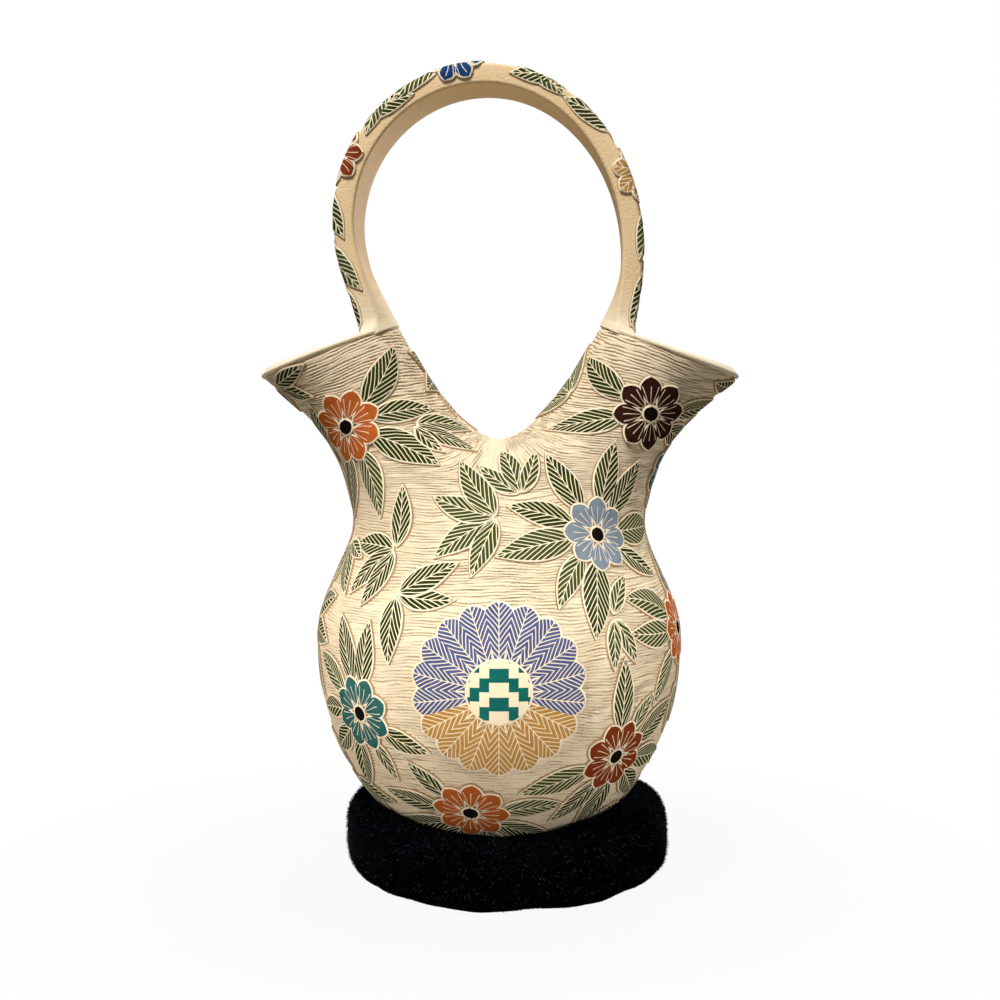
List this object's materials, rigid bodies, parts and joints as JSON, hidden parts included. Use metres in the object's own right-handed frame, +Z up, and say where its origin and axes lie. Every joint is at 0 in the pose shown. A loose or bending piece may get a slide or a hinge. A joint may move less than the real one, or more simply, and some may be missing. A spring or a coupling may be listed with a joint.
{
  "type": "wedding vase",
  "caption": "Round-bottomed pottery vase with twin flared spouts joined by an arched strap handle, carved and slip-painted all over, resting in a stuffed plush ring stand.",
  "frame": {"origin": "on the table, under the middle of the ring stand", "axes": "+Z up, the spouts lie along X with the handle arching between them, the front faces -Y"},
  "size_m": [0.217, 0.1657, 0.3678],
  "materials": {
    "carved_clay": "low-fired cream clay, carved ground with raised slip-painted motifs, unglazed",
    "smooth_clay": "low-fired cream clay, burnished smooth, unglazed",
    "plush": "black short-pile plush",
    "stuffing": "fibre filling",
    "thread": "black sewing thread"
  },
  "bodies": {
    "ring_stand": {"ring_cover": "plush", "ring_stuffing": "stuffing", "ring_seam": "thread"},
    "vase": {"base_bowl": "carved_clay", "belly_wall": "carved_clay", "shoulder": "carved_clay", "left_spout": "carved_clay", "right_spout": "carved_clay", "left_lip": "smooth_clay", "right_lip": "smooth_clay", "handle": "smooth_clay"}
  },
  "joints": [
    {"name": "vase_lift", "type": "slide", "parent": "ring_stand", "child": "vase", "axis": [0, 0, 1], "range_m": [0, 0.06]}
  ]
}
